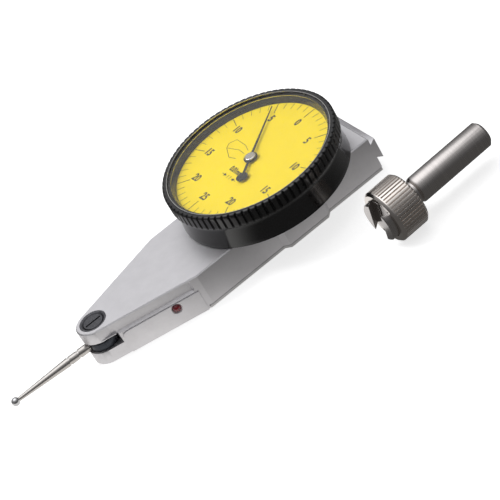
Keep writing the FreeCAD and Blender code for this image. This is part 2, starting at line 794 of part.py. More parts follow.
def build_stylus():
    """Holder in the fork, stylus with collars, and its ball.

    The stylus is turned about its own axis, then laid along the -X side
    of the pivot with a small yaw.
    """
    top = holder_low + holder_thick
    holder = turned("stylus_holder", [
        (pin_radius + run_fit, holder_low), (holder_radius - 0.15, holder_low),
        (holder_radius, holder_low + 0.15), (holder_radius, top - 0.15),
        (holder_radius - 0.15, top), (pin_radius + run_fit, top)])
    thread = holder.newObject("PartDesign::SubtractiveCylinder",
                              "stylus_thread")
    bind(thread, "Radius", thread_radius)
    thread.Height = holder_radius.value
    frame = stylus_frame()
    frame.Base = Vector(0, 0, stylus_height.value)
    thread.Placement = frame.multiply(
        Placement(Vector(0, 0, holder_radius.value - thread_length.value),
                  Rotation()))
    place(holder, -pivot_reach)

    first = holder_radius + collar_first
    second = first + groove_width + collar_second
    shank = second + groove_width
    thin = collar_radius - groove_depth
    stylus = turned("stylus", [
        (0, holder_radius - thread_length),
        (thread_radius, holder_radius - thread_length),
        (thread_radius, holder_radius), (collar_radius, holder_radius),
        (collar_radius, first), (thin, first), (thin, first + groove_width),
        (collar_radius - 0.04, first + groove_width),
        (collar_radius - 0.04, second), (thin, second), (thin, shank),
        (collar_radius, shank), (collar_radius * 0.93, shank + 1.6),
        (shank_tip, stylus_reach - ball_radius * 0.8), (0, stylus_reach
                                                       - ball_radius * 0.8)])
    stylus.Placement = stylus_frame()

    ball = new("Part::Sphere", "ball_shape", Radius=ball_radius)
    spot = stylus_frame().multVec(Vector(0, 0, stylus_reach.value))
    ball.Placement.Base = spot
    socket = new("Part::Cone", "ball_socket", Radius1=collar_radius * 0.93,
                 Radius2=shank_tip,
                 Height=stylus_reach - ball_radius * 0.8 - shank - 1.6)
    socket.Placement = stylus_frame().multiply(
        Placement(Vector(0, 0, (shank + 1.6).value), Rotation()))
    node(cut("ball_cut", ball, socket), "contact_ball")

    node(cut("friction_washer_shape",
             cylinder("washer_disc", washer_radius, washer_thick,
                      -pivot_reach, 0, top),
             cylinder("washer_hole", pin_radius + run_fit, washer_thick * 3,
                      -pivot_reach, 0, top - washer_thick)),
         "friction_washer")


def build_lever():
    """Lever from the fork to the toothed sector, seen in plan."""
    body = new_body("contact_lever")
    hub = ring(sketch(body, "XY_Plane", "hub_plan"), lever_hub)
    pad(body, hub, lever_thick, "hub")
    arm = sketch(body, "XY_Plane", "arm_plan")
    reach = sector_pitch - sector_rim
    outline(arm, [(0, -lever_half), (reach, -(lever_half + 0.5)),
                  (reach, lever_half + 0.5), (0, lever_half)])
    pad(body, arm, lever_thick, "arm")
    window = sketch(body, "XY_Plane", "window_plan")
    outline(window, [(lever_hub + 2, -(lever_half - 0.75)),
                     (reach - 3, -(lever_half - 0.55)),
                     (reach - 3, lever_half - 0.55),
                     (lever_hub + 2, lever_half - 0.75)])
    pocket(body, window, lever_thick, "window", back=True)
    step = 360.0 / (2 * sector_pitch.value / gear_module.value)
    rim = gear_outline(sketch(body, "XY_Plane", "sector_plan"),
                       2 * sector_pitch.value / gear_module.value,
                       sector_pitch.value,
                       first=-step * (sector_teeth.value - 1) / 2,
                       count=int(sector_teeth.value),
                       root=sector_pitch.value - sector_rim.value - 0.3)
    pad(body, rim, lever_thick, "sector")
    bore(body, "lever_bore", pin_radius + run_fit, lever_thick, 0, 0, 0)
    place(body, -pivot_reach, 0, lever_low)


# ------------------------------------------------------------- gear train

def build_train():
    arbor = new_body("train_arbor")
    low, high = bridge_low + 0.2, cavity_roof + jewel_thick - 0.15
    shaft = ring(sketch(arbor, "XY_Plane", "arbor_plan", low), arbor_radius)
    pad(arbor, shaft, high - low, "shaft")
    pinion = sketch(arbor, "XY_Plane", "pinion_plan", pinion_low)
    gear_outline(pinion, pinion_teeth.value, pinion_pitch.value,
                 first=180.0 + 180.0 / pinion_teeth.value)
    pad(arbor, pinion, pinion_long, "pinion")
    boss = ring(sketch(arbor, "XY_Plane", "boss_plan",
                       wheel_low + wheel_thick), arbor_radius + 0.45)
    pad(arbor, boss, 0.3, "boss")
    place(arbor, train_x)

    wheel = new_body("train_wheel")
    pitch = gear_module.value * wheel_teeth.value / 2
    sk = gear_outline(sketch(wheel, "XY_Plane", "wheel_plan"),
                      wheel_teeth.value, pitch)
    pad(wheel, sk, wheel_thick, "wheel")
    spokes = sketch(wheel, "XY_Plane", "window_plan")
    outline(spokes, [(1.9, 0.5), (pitch - 1.6, 0.9), (pitch - 2.9, 3.3),
                     (1.2, 1.6)])
    window = pocket(wheel, spokes, wheel_thick, "window", back=True)
    around(wheel, window, 5, "windows")
    bore(wheel, "wheel_bore", arbor_radius, wheel_thick, 0, 0, 0)
    place(wheel, train_x, 0, wheel_low)

    centre = new_body("centre_arbor")
    low = bridge_low + 0.2
    high = dial_face + pointer_gap + pointer_thick
    shaft = ring(sketch(centre, "XY_Plane", "arbor_plan", low), centre_arbor)
    pad(centre, shaft, high - low, "shaft")
    pinion = sketch(centre, "XY_Plane", "pinion_plan", wheel_low - 0.25)
    gear_outline(pinion, centre_teeth.value,
                 gear_module.value * centre_teeth.value / 2,
                 first=180.0 + 180.0 / centre_teeth.value)
    pad(centre, pinion, wheel_thick + 0.55, "pinion")

    collet = turned("spring_collet", [
        (centre_arbor, spring_low - 0.1), (collet_radius, spring_low - 0.1),
        (collet_radius, spring_low + spring_high + 0.1),
        (centre_arbor, spring_low + spring_high + 0.1)])
    return collet


def build_hairspring():
    """A flat spiral between the collet and its stud on the bridge."""
    half = spring_wire.value / 2
    turns, count = spring_turns.value, 90
    grow = (spring_outer.value - spring_inner.value) / (turns * 2 * math.pi)

    def side(shift):
        points = []
        for i in range(count + 1):
            angle = turns * 2 * math.pi * i / count
            radius = spring_inner.value + grow * angle + shift
            points.append(Vector(radius * math.cos(angle),
                                 radius * math.sin(angle), 0))
        return points

    edges = []
    for points in (side(-half), side(half)):
        curve = Part.BSplineCurve()
        curve.interpolate(points)
        edges.append(curve.toShape())
    ends = [Part.makeLine(side(-half)[i], side(half)[i]) for i in (0, -1)]
    face = Part.Face(Part.Wire(Part.__sortEdges__(edges + ends)))
    flat = doc.addObject("Part::Feature", "hairspring_flat")
    flat.Shape = face
    coil = doc.addObject("Part::Extrusion", "hairspring_coil")
    coil.Base = flat
    coil.DirMode = "Custom"
    coil.Dir = Vector(0, 0, 1)
    coil.Solid = True
    bind(coil, "LengthFwd", spring_high)
    place(coil, 0, 0, spring_low)
    tab = box("hairspring_tab", spring_inner - collet_radius, 0.3,
              spring_high, collet_radius, -0.15, spring_low)
    node(fuse("hairspring_shape", coil, tab), "hairspring")
    stud = cylinder("stud_post", 0.45, spring_low + spring_high + 0.2
                    - bridge_low - bridge_thick, spring_outer + 0.4, 0,
                    bridge_low + bridge_thick)
    node(stud, "spring_stud")


def pillar_spots():
    return [(-(bridge_front - 1.5), bridge_half - 1.5),
            (-(bridge_front - 1.5), -(bridge_half - 1.5)),
            (bridge_rear - 1.5, bridge_half - 1.5),
            (bridge_rear - 1.5, -(bridge_half - 1.5))]


def build_bridge():
    body = new_body("movement_bridge")
    sk = sketch(body, "XY_Plane", "bridge_plan", bridge_low)
    outline(sk, [(-bridge_front, -bridge_half), (bridge_rear, -bridge_half),
                 (bridge_rear, bridge_half), (-bridge_front, bridge_half)])
    pad(body, sk, bridge_thick, "bridge")
    for x in (train_x, 0):
        bore(body, "jewel_seat", jewel_radius, bridge_thick, x, 0, bridge_low)
    for x, y in pillar_spots():
        bore(body, "pillar_hole", 0.5, bridge_thick, x, y, bridge_low)

    top = bridge_low + bridge_thick
    pillars = [cylinder("pillar_%d" % (i + 1), pillar_radius,
                        cavity_roof - top, x, y, top)
               for i, (x, y) in enumerate(pillar_spots())]
    node(group("pillar_set", *pillars), "bridge_pillars")
    screws = []
    for i, (x, y) in enumerate(pillar_spots()):
        head = cylinder("bridge_head_%d" % (i + 1), 0.85, 0.3, x, y,
                        bridge_low - 0.3)
        neck = cylinder("bridge_neck_%d" % (i + 1), 0.5, bridge_thick, x, y,
                        bridge_low)
        screws.append(fuse("bridge_screw_%d" % (i + 1), head, neck))
    node(group("bridge_screw_set", *screws), "bridge_screws")

    jewels = []
    spots = [(train_x, bridge_low, arbor_radius), (0, bridge_low,
                                                   centre_arbor),
             (train_x, cavity_roof, arbor_radius),
             (0, cavity_roof, centre_arbor)]
    for i, (x, z, shaft) in enumerate(spots):
        thick = bridge_thick if i < 2 else jewel_thick
        jewels.append(cut("jewel_%d" % (i + 1),
                          cylinder("jewel_disc_%d" % (i + 1), jewel_radius,
                                   thick, x, 0, z),
                          cylinder("jewel_bore_%d" % (i + 1),
                                   shaft + run_fit, thick * 3, x, 0,
                                   z - thick)))
    node(group("jewel_set", *jewels), "bearing_jewels")


# ------------------------------------------------------ dial base to crystal

def build_dial_base():
    outer, inner = base_radius, base_radius - base_wall
    floor, top = body_top + base_floor, body_top + base_high
    wire = body_top + wire_above
    deep = wire_radius * 1.5
    body = turned("dial_base", [
        (2.4, body_top), (outer, body_top),
        (outer, wire - wire_radius - 0.05),
        (outer - deep, wire - wire_radius - 0.05),
        (outer - deep, wire + wire_radius + 0.05),
        (outer, wire + wire_radius + 0.05),
        (outer, top - 0.3), (outer - 0.3, top), (inner, top),
        (inner, floor), (2.4, floor)])
    for x, y in base_screw_spots():
        bore(body, "base_hole", base_screw, base_floor, x, y, body_top)
        countersink(body, "base_sink", base_screw, base_head,
                    base_head - base_screw, x, y,
                    floor - (base_head - base_screw))
    mean = outer - deep + wire_radius + 0.05
    loop = new("Part::Torus", "wire_loop", Radius1=mean, Radius2=wire_radius,
               Angle3=325.0)
    place(loop, 0, 0, wire)
    node(loop, "retaining_wire")


def build_bezel():
    foot = body_top + bezel_lift
    knurl_low = body_top + skirt_high
    bore_radius = base_radius + bezel_fit
    wire = body_top + wire_above
    seat = bezel_high - crystal_seat
    dial_low = dial_face - dial_thick
    groove = wire_radius + 0.2
    body = turned("bezel", [
        (bore_radius, foot), (skirt_foot, foot),
        (skirt_foot, foot + 0.35), (skirt_neck, knurl_low - 0.25),
        (knurl_radius - knurl_depth - 0.1, knurl_low - 0.05),
        (knurl_radius, knurl_low + 0.35),
        (knurl_radius, bezel_high - rim_break),
        (knurl_radius - rim_break, bezel_high),
        (rim_inner, bezel_high), (rim_inner, seat), (sight_radius, seat),
        (sight_foot, dial_face), (dial_radius, dial_face),
        (dial_radius, dial_low - clamp_high),
        (bore_radius, dial_low - clamp_high - 0.1),
        (bore_radius, wire + groove), (bore_radius + 0.35, wire + groove),
        (bore_radius + 0.35, wire - groove), (bore_radius, wire - groove)])
    tooth = sketch(body, "XY_Plane", "knurl_notch", knurl_low - 0.1)
    low = knurl_radius - knurl_depth
    half = knurl_mouth / 2
    outline(tooth, [(low, -(half * 0.45)), (knurl_radius + 0.2, -(half * 1.2)),
                    (knurl_radius + 0.2, half * 1.2), (low, half * 0.45)])
    notch = pocket(body, tooth, bezel_high - rim_break * 0.6 - knurl_low
                   + 0.1, "notch", back=True)
    around(body, notch, knurl_teeth, "knurl")

    edge = dial_radius - crystal_fit
    turned("dial_plate", [(0.9, dial_low), (edge, dial_low),
                          (edge, dial_face), (0.9, dial_face)])
    turned("dial_clamp", [
        (clamp_inner, dial_low - clamp_high),
        (dial_radius, dial_low - clamp_high), (dial_radius, dial_low),
        (clamp_inner, dial_low)])
    # Ring of angle section that holds the crystal
    outer = rim_inner - crystal_fit
    inner, leaf = outer - trim_wall, seat + trim_wall
    high = bezel_high - crystal_fit
    turned("crystal_ring", [
        (sight_radius, seat), (outer, seat), (outer, high), (inner, high),
        (inner, leaf), (sight_radius, leaf)])
    edge, top = inner - crystal_fit, leaf + crystal_thick
    turned("crystal", [(0, leaf), (edge, leaf), (edge, top - 0.06),
                       (edge - 0.06, top), (0, top)])


def build_pointer():
    low = dial_face + pointer_gap
    body = new_body("pointer")
    needle = sketch(body, "XY_Plane", "needle_plan")
    outline(needle, [(0, -pointer_root), (pointer_long, -pointer_tip),
                     (pointer_long, pointer_tip), (0, pointer_root)])
    pad(body, needle, pointer_thick, "needle")
    tail = sketch(body, "XY_Plane", "tail_plan")
    outline(tail, [(0, pointer_root), (-tail_long, pointer_root * 0.9),
                   (-tail_long, -(pointer_root * 0.9)), (0, -pointer_root)])
    pad(body, tail, pointer_thick, "tail")
    weight = ring(sketch(body, "XY_Plane", "weight_plan"), weight_radius,
                  -tail_long, 0)
    pad(body, weight, pointer_thick, "weight")
    hub = ring(sketch(body, "XY_Plane", "hub_plan", -0.15),
               cap_radius + 0.25)
    pad(body, hub, pointer_thick + 0.15, "hub")
    bore(body, "hub_bore", centre_arbor, 1, 0, 0, -0.4)
    body.Placement = Placement(Vector(0, 0, low.value),
                               Rotation(Vector(0, 0, 1), pointer_turn.value))
    bind(body, "Placement.Base.z", low)

    base = low + pointer_thick
    turned("pointer_cap", [
        (0, base), (cap_radius, base), (cap_radius, base + cap_high * 0.6),
        (cap_radius - 0.2, base + cap_high), (0, base + cap_high)])


# ------------------------------------------------------------ detached stem

def stem_frame():
    """Turns +Z of a turned piece into the stem's axis, away from the jaws."""
    return Placement(Vector(stem_x.value, -stem_y.value, ring_radius.value),
                     Rotation(Vector(0, 0, 1), stem_yaw.value)
                     * Rotation(Vector(1, 0, 0), stem_roll.value)
                     * Rotation(Vector(0, 1, 0), 90))


def build_stem():
    """Split stem whose jaws take the dovetail; its axis is local Z."""
    stem = turned("clamp_stem", [
        (0, -jaw_out), (jaw_radius - 0.25, -jaw_out),
        (jaw_radius, -(jaw_out - 0.25)), (jaw_radius, ring_step - 0.3),
        (stem_thread, ring_step), (stem_thread, ring_long - 0.6),
        (stem_neck, ring_long - 0.1), (stem_neck, shaft_start),
        (shaft_radius - 0.1, shaft_start + 0.5),
        (shaft_radius, shaft_start + 0.9),
        (shaft_radius, shaft_end - shaft_break),
        (shaft_radius - shaft_break, shaft_end), (0, shaft_end)])
    channel = sketch(stem, "YZ_Plane", "channel_section", -(jaw_radius * 2))
    lip = (tail_lip / 2 + channel_fit)
    neck = lip - tail_flank
    deep = -(jaw_out - tail_depth - channel_fit)
    outline(channel, [(-neck, -(jaw_out + 1)), (neck, -(jaw_out + 1)),
                      (neck, -jaw_out), (lip, deep), (-lip, deep),
                      (-neck, -jaw_out)])
    pocket(stem, channel, jaw_radius * 4, "channel", back=True)
    slit = sketch(stem, "YZ_Plane", "slit_section", -(jaw_radius * 2))
    outline(slit, [(-(jaw_slit / 2), -jaw_out), (jaw_slit / 2, -jaw_out),
                   (jaw_slit / 2, ring_step + 1.2),
                   (-(jaw_slit / 2), ring_step + 1.2)])
    pocket(stem, slit, jaw_radius * 4, "slit", back=True)
    stem.Placement = stem_frame()

    nut = turned("clamp_ring", [
        (jaw_radius + 0.1, 0), (ring_radius - ring_break, 0),
        (ring_radius, ring_break), (ring_radius, ring_long - ring_break),
        (ring_radius - ring_break, ring_long),
        (stem_thread + 0.08, ring_long), (stem_thread + 0.08, ring_step + 0.1),
        (jaw_radius + 0.1, ring_step - 0.2)])
    pitch = math.pi / ring_teeth.value
    half = ring_radius.value * pitch * 0.62
    notch = sketch(nut, "XY_Plane", "ring_notch", ring_break + 0.3)
    low = ring_radius - ring_depth
    outline(notch, [(low, -half * 0.3), (ring_radius + 0.2, -half),
                    (ring_radius + 0.2, half), (low, half * 0.3)])
    groove = pocket(nut, notch, ring_long - ring_break * 0.5, "notch",
                    back=True)
    around(nut, groove, ring_teeth, "knurl")
    nut.Placement = stem_frame()


def write_nodes():
    doc.recompute()
    for name, obj in nodes:
        shape = obj.Shape
        assert "Invalid" not in obj.State and "Error" not in obj.State, name
        assert shape.isValid() and shape.Solids, name
        shape.exportStep("parts/%s.step" % name)


build_body_frame()
build_back_cover()
build_side_jewel()
build_screws()
build_pivot()
build_stylus()
build_lever()
build_train()
build_hairspring()
build_bridge()
build_dial_base()
build_bezel()
build_pointer()
build_stem()
write_nodes()
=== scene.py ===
"""Looks of a dial test indicator with its detached dovetail stem.

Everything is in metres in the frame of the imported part: +Z is the dial's
normal, the stylus points to -X and the dial's zero to +X.
"""
import json
import math

import bmesh
import bpy
import numpy as np
from mathutils import Matrix, Vector


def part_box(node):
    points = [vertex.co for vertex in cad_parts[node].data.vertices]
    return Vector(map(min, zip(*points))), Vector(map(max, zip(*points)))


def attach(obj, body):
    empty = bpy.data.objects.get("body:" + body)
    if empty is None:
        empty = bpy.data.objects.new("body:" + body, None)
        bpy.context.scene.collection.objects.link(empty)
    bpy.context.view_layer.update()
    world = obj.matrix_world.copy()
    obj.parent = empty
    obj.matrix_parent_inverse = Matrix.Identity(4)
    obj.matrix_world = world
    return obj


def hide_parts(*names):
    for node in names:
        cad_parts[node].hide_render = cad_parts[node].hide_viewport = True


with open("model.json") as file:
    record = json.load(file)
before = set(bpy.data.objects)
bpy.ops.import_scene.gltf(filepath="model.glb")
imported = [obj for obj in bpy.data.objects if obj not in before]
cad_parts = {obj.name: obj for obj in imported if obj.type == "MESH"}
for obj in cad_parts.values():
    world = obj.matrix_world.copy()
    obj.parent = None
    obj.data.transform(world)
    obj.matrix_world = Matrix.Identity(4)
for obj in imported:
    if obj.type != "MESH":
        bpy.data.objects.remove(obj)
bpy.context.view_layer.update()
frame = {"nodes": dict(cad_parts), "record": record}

MM = 0.001
scene = bpy.context.scene
nodes = frame["nodes"]


def box_of(node):
    low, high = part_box(node)
    return low / MM, high / MM


# Sizes in millimetres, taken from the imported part
BEZEL_LOW, BEZEL_HIGH = box_of("bezel")
DIAL_LOW, DIAL_HIGH = box_of("dial_plate")
BASE_LOW, BASE_HIGH = box_of("dial_base")
RING_LOW, RING_HIGH = box_of("crystal_ring")
KNURL_RADIUS = BEZEL_HIGH.x
DIAL_FACE = DIAL_HIGH.z
BODY_TOP = BASE_LOW.z


# ------------------------------------------------------------- materials

NOISE_RANGE = (0.3, 0.7)   # where most of a noise texture's values lie


class Shader:
    """A node material built up step by step around one Principled node."""

    def __init__(self, name, colour, metallic=0.0, rough=0.4, **plain):
        self.material = bpy.data.materials.new(name)
        self.material.use_nodes = True
        self.tree = self.material.node_tree
        self.bsdf = self.tree.nodes["Principled BSDF"]
        self.colour = colour
        self.set("Base Color", (*colour, 1))
        self.set("Metallic", metallic)
        self.set("Roughness", rough)
        for socket, value in plain.items():
            self.set(socket.replace("_", " "), value)
        self.place = self.add("ShaderNodeTexCoord").outputs["Object"]

    def set(self, socket, value):
        self.bsdf.inputs[socket].default_value = value

    def add(self, kind, **values):
        node = self.tree.nodes.new(kind)
        for key, value in values.items():
            if hasattr(node, key):
                setattr(node, key, value)
            else:
                node.inputs[key.replace("_", " ")].default_value = value
        return node

    def link(self, a, b):
        self.tree.links.new(a, b)

    def noise(self, size, detail=2.0, stretch=(1, 1, 1)):
        """Noise whose features are about size millimetres."""
        mapping = self.add("ShaderNodeMapping")
        mapping.inputs["Scale"].default_value = [
            1 / (size * MM * s) for s in stretch]
        self.link(self.place, mapping.inputs["Vector"])
        texture = self.add("ShaderNodeTexNoise", Scale=1.0, Detail=detail)
        self.link(mapping.outputs["Vector"], texture.inputs["Vector"])
        return texture.outputs["Fac"]

    def spread(self, value, low, high):
        """Spreads a noise over low to high."""
        node = self.add("ShaderNodeMapRange")
        for socket, number in zip(
                ("From Min", "From Max", "To Min", "To Max"),
                (*NOISE_RANGE, low, high)):
            node.inputs[socket].default_value = number
        self.link(value, node.inputs["Value"])
        return node.outputs["Result"]

    def mottle(self, size, share, stretch=(1, 1, 1)):
        """Varies the colour by a share either way."""
        node = self.add("ShaderNodeMix", data_type="RGBA")
        ends = {"A": [c * (1 - share) for c in self.colour],
                "B": [min(1, c * (1 + share)) for c in self.colour]}
        for socket in node.inputs:
            if socket.type == "RGBA" and socket.name in ends:
                socket.default_value = (*ends[socket.name], 1)
        factor = self.spread(self.noise(size, stretch=stretch), 0, 1)
        self.link(factor, node.inputs["Factor"])
        self.link(node.outputs[2], self.bsdf.inputs["Base Color"])
        return self

    def scuff(self, size, low, high, stretch=(1, 1, 1)):
        """Varies the roughness between two numbers."""
        self.link(self.spread(self.noise(size, 3.0, stretch), low, high),
                  self.bsdf.inputs["Roughness"])
        return self

    def grain(self, size, height, stretch=(1, 1, 1)):
        """Bump of about height millimetres."""
        bump = self.add("ShaderNodeBump", Strength=1.0, Distance=height * MM)
        self.link(self.noise(size, stretch=stretch), bump.inputs["Height"])
        self.link(bump.outputs["Normal"], self.bsdf.inputs["Normal"])
        return self

    def lamps_pass(self):
        """Lets the lamps' rays through clear material."""
        path = self.add("ShaderNodeLightPath")
        clear = self.add("ShaderNodeBsdfTransparent")
        mix = self.add("ShaderNodeMixShader")
        self.link(path.outputs["Is Shadow Ray"], mix.inputs["Fac"])
        self.link(self.bsdf.outputs["BSDF"], mix.inputs[1])
        self.link(clear.outputs["BSDF"], mix.inputs[2])
        self.link(mix.outputs["Shader"],
                  self.tree.nodes["Material Output"].inputs["Surface"])
        return self


def steel(name, colour, rough, along=None, grain=0.0006):
    """Metal with fine turning marks across an axis, or a blasted grain."""
    shader = Shader(name, colour, 1.0, rough)
    if along is None:
        shader.mottle(3.0, 0.025).scuff(0.6, rough - 0.03, rough + 0.03)
        shader.grain(0.09, grain)
    else:
        marks = [60.0] * 3
        marks["xyz".index(along)] = 1.0
        shader.mottle(0.25, 0.05, stretch=marks)
        shader.scuff(0.12, rough - 0.05, rough + 0.05, stretch=marks)
        shader.grain(0.06, grain, stretch=marks)
    return shader


def make_materials():
    made = {
        "satin_chrome": steel("satin_chrome", (0.78, 0.77, 0.79), 0.5),
        "cover_steel": steel("cover_steel", (0.6, 0.595, 0.6), 0.34),
        "screw_steel": steel("screw_steel", (0.56, 0.56, 0.57), 0.3),
        "base_metal": steel("base_metal", (0.6, 0.6, 0.61), 0.4),
        "arbor_steel": steel("arbor_steel", (0.6, 0.6, 0.62), 0.25, "z"),
        "gear_brass": steel("gear_brass", (0.8, 0.6, 0.25), 0.3),
        "spring_bronze": steel("spring_bronze", (0.72, 0.46, 0.22), 0.3),
        "stylus_steel": steel("stylus_steel", (0.58, 0.555, 0.53), 0.27, "x"),
        "ball_steel": steel("ball_steel", (0.62, 0.62, 0.63), 0.1,
                            grain=0.0001),
        "cap_silver": steel("cap_silver", (0.66, 0.65, 0.68), 0.16,
                            grain=0.0002),
        "ring_silver": steel("ring_silver", (0.74, 0.73, 0.7), 0.2,
                             grain=0.0002),
        "stem_steel": steel("stem_steel", (0.56, 0.53, 0.515), 0.24, "x",
                            0.0008),
        "knurl_steel": steel("knurl_steel", (0.74, 0.69, 0.65), 0.17,
                             grain=0.0004),
        "black_steel": Shader("black_steel", (0.12, 0.12, 0.13), 0.85, 0.3)
        .mottle(0.5, 0.2).scuff(0.3, 0.24, 0.36).grain(0.08, 0.0006),
        "holder_steel": Shader("holder_steel", (0.05, 0.055, 0.065), 0.85,
                               0.3)
        .mottle(0.5, 0.15).scuff(0.3, 0.25, 0.36).grain(0.08, 0.0005),
        "bezel_black": Shader("bezel_black", (0.0025, 0.0025, 0.003), 0.0,
                              0.14, Specular_IOR_Level=0.85)
        .mottle(1.5, 0.15).scuff(1.0, 0.11, 0.17).grain(0.35, 0.0005),
        "clamp_black": Shader("clamp_black", (0.01, 0.01, 0.01), 0.0, 0.5)
        .mottle(1.0, 0.2).grain(0.1, 0.001),
        "pointer_black": Shader("pointer_black", (0.006, 0.006, 0.006), 0.0,
                                0.22)
        .mottle(0.5, 0.2).scuff(0.4, 0.18, 0.28).grain(0.1, 0.0004),
        "dial_yellow": Shader("dial_yellow", (0.82, 0.63, 0.004), 0.0, 0.6,
                              Specular_IOR_Level=0.15)
        .mottle(2.0, 0.012).scuff(0.6, 0.46, 0.54).grain(0.12, 0.0008),
        "ruby_red": Shader("ruby_red", (0.33, 0.004, 0.02), 0.0, 0.06,
                           IOR=1.76, Transmission_Weight=0.35)
        .mottle(0.4, 0.2),
        "clear_crystal": Shader("clear_crystal", (1, 1, 1), 0.0, 0.015,
                                IOR=1.49, Transmission_Weight=1.0)
        .lamps_pass(),
    }
    return {slot: shader.material for slot, shader in made.items()}


materials = make_materials()
print_ink = (Shader("print_ink", (0.03, 0.024, 0.006), 0.0, 0.5)
             .mottle(0.2, 0.2).grain(0.06, 0.0004).material)
faint_ink = (Shader("faint_ink", (0.1, 0.075, 0.01), 0.0, 0.5)
             .mottle(0.2, 0.1).grain(0.06, 0.0004).material)

for part in frame["record"]["subparts"]:
    data = nodes[part["node"]].data
    data.materials.clear()
    data.materials.append(materials[part["material_slot"]])


# --------------------------------------------------------- mesh helpers

def piece(name, mesh, material, body):
    obj = bpy.data.objects.new(name, mesh)
    scene.collection.objects.link(obj)
    mesh.materials.append(material)
    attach(obj, body)
    return obj


def mesh_of(name, points, faces, smooth=True):
    """A mesh from points in millimetres."""
    mesh = bpy.data.meshes.new(name)
    mesh.from_pydata([[c * MM for c in p] for p in points], [], faces)
    mesh.update()
    for polygon in mesh.polygons:
        polygon.use_smooth = smooth
    return mesh


def sharp(obj, degrees):
    """Smooth shading that keeps edges over an angle sharp."""
    obj.data.shade_smooth()
    obj.data.set_sharp_from_angle(angle=math.radians(degrees))


SOFT_ANGLE = 35            # degrees from which an edge is rounded
SOFT_SEGMENTS = 2


def soften(node, width):
    """Rounds the edges of a carried-over CAD node."""
    obj = nodes[node]
    weld = obj.modifiers.new("weld", "WELD")
    weld.merge_threshold = 0.0005 * MM
    bevel = obj.modifiers.new("soft_edges", "BEVEL")
    bevel.width = width * MM
    bevel.segments = SOFT_SEGMENTS
    bevel.limit_method = "ANGLE"
    bevel.angle_limit = math.radians(SOFT_ANGLE)
    bevel.harden_normals = True
    bevel.use_clamp_overlap = True


# ----------------------------------------------------------------- bezel

KNURL_TEETH = 80
KNURL_DEPTH = 0.4
KNURL_LOW = BODY_TOP + 5.55
GROOVE_HALF = 0.2          # of a tooth's pitch
GROOVE_ROUND = 0.7         # under 1 gives the groove a rounder bottom
RUN_OUT = 0.5              # height over which a groove fades out below
SKIRT_INSET, NECK_INSET = 0.35, 0.75
FOOT_BAND = 0.35           # straight band at the skirt's foot
SIGHT_STEP, SIGHT_SLOPE = 0.83, 0.6
FIT = 0.02                 # clearance to the crystal ring and the dial


def knurl_depth(share, z):
    """How deep the groove is at a share of the pitch and a height."""
    away = min(share, 1 - share)
    if away >= GROOVE_HALF:
        return 0.0
    groove = 0.5 + 0.5 * math.cos(math.pi * away / GROOVE_HALF)
    run = min(max((z - KNURL_LOW + 0.1) / RUN_OUT, 0.0), 1.0)
    run = run * run * (3 - 2 * run)
    return KNURL_DEPTH * (groove ** GROOVE_ROUND) * run


def bezel_profile():
    """Closed outline of the ring as (radius, height, knurled)."""
    foot, top = BEZEL_LOW.z, BEZEL_HIGH.z
    radius = KNURL_RADIUS
    rim, seat = RING_HIGH.x + FIT, RING_LOW.z
    sight, sight_foot = rim - SIGHT_STEP, rim - SIGHT_STEP - SIGHT_SLOPE
    outer = DIAL_HIGH.x + FIT
    bore = BASE_HIGH.x + 0.1
    neck, skirt = radius - NECK_INSET, radius - SKIRT_INSET
    clamp = DIAL_LOW.z - 0.9
    band, neck_low = foot + FOOT_BAND, KNURL_LOW - 0.45
    skirt_foot = [(bore, foot, 0), (skirt - 0.08, foot, 0),
                  (skirt, foot + 0.06, 0), (skirt, band, 0)]
    taper = [(neck + (skirt - neck) * (1 - t) ** 1.6,
              band + (neck_low - band) * t, 0)
             for t in np.linspace(0.12, 1, 9)]
    shoulder = [(neck + 0.05, KNURL_LOW - 0.3, 0),
                (radius - 0.5, KNURL_LOW - 0.12, 1),
                (radius - 0.25, KNURL_LOW + 0.08, 1),
                (radius - 0.07, KNURL_LOW + 0.3, 1),
                (radius, KNURL_LOW + 0.5, 1)]
    lands = [(radius, z, 1)
             for z in np.linspace(KNURL_LOW + 0.9, top - 0.45, 5)]
    crest = [(radius - 0.06, top - 0.27, 1), (radius - 0.18, top - 0.12, 1),
             (radius - 0.36, top - 0.025, 0.6), (radius - 0.45, top, 0.3),
             (radius - 0.6, top, 0), (rim + 0.08, top, 0)]
    inside = [(rim + 0.02, top - 0.02, 0), (rim, top - 0.08, 0),
              (rim, seat, 0), (sight + 0.04, seat, 0),
              (sight, seat - 0.05, 0), (sight_foot, DIAL_FACE, 0),
              (outer, DIAL_FACE, 0), (outer, clamp, 0),
              (bore, clamp - 0.1, 0)]
    return skirt_foot + taper + shoulder + lands + crest + inside


def build_bezel():
    shares = [0, 0.04, 0.08, 0.12, 0.16, 0.2, 0.27, 0.38, 0.5]
    shares += [1 - s for s in reversed(shares[1:-1])]
    profile = bezel_profile()
    turns = [(tooth + share) * 2 * math.pi / KNURL_TEETH
             for tooth in range(KNURL_TEETH) for share in shares]
    points, faces = [], []
    for index, angle in enumerate(turns):
        share = shares[index % len(shares)]
        for radius, z, knurled in profile:
            r = radius - knurled * knurl_depth(share, z)
            points.append((r * math.cos(angle), r * math.sin(angle), z))
    rows, columns = len(profile), len(turns)
    for i in range(columns):
        a, b = i * rows, (i + 1) % columns * rows
        for j in range(rows):
            k = (j + 1) % rows
            faces.append((a + j, b + j, b + k, a + k))
    bezel = piece("bezel_moulding", mesh_of("bezel_moulding", points, faces),
                  materials["bezel_black"], "bezel_unit")
    sharp(bezel, 50)
    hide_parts("bezel")


# ------------------------------------------------------------ dial print

PRINT = DIAL_FACE + 0.04   # top of the print
DIVISIONS = 50
TICK_END = 17.4            # outer radius of the graduations
LABEL_RADIUS, LABEL_HEIGHT = 12.75, 2.0
UNIT_UP, MARK_UP = -4.1, -6.2
LABELS = ("0", "5", "10", "15", "20", "25", "20", "15", "10", "5")


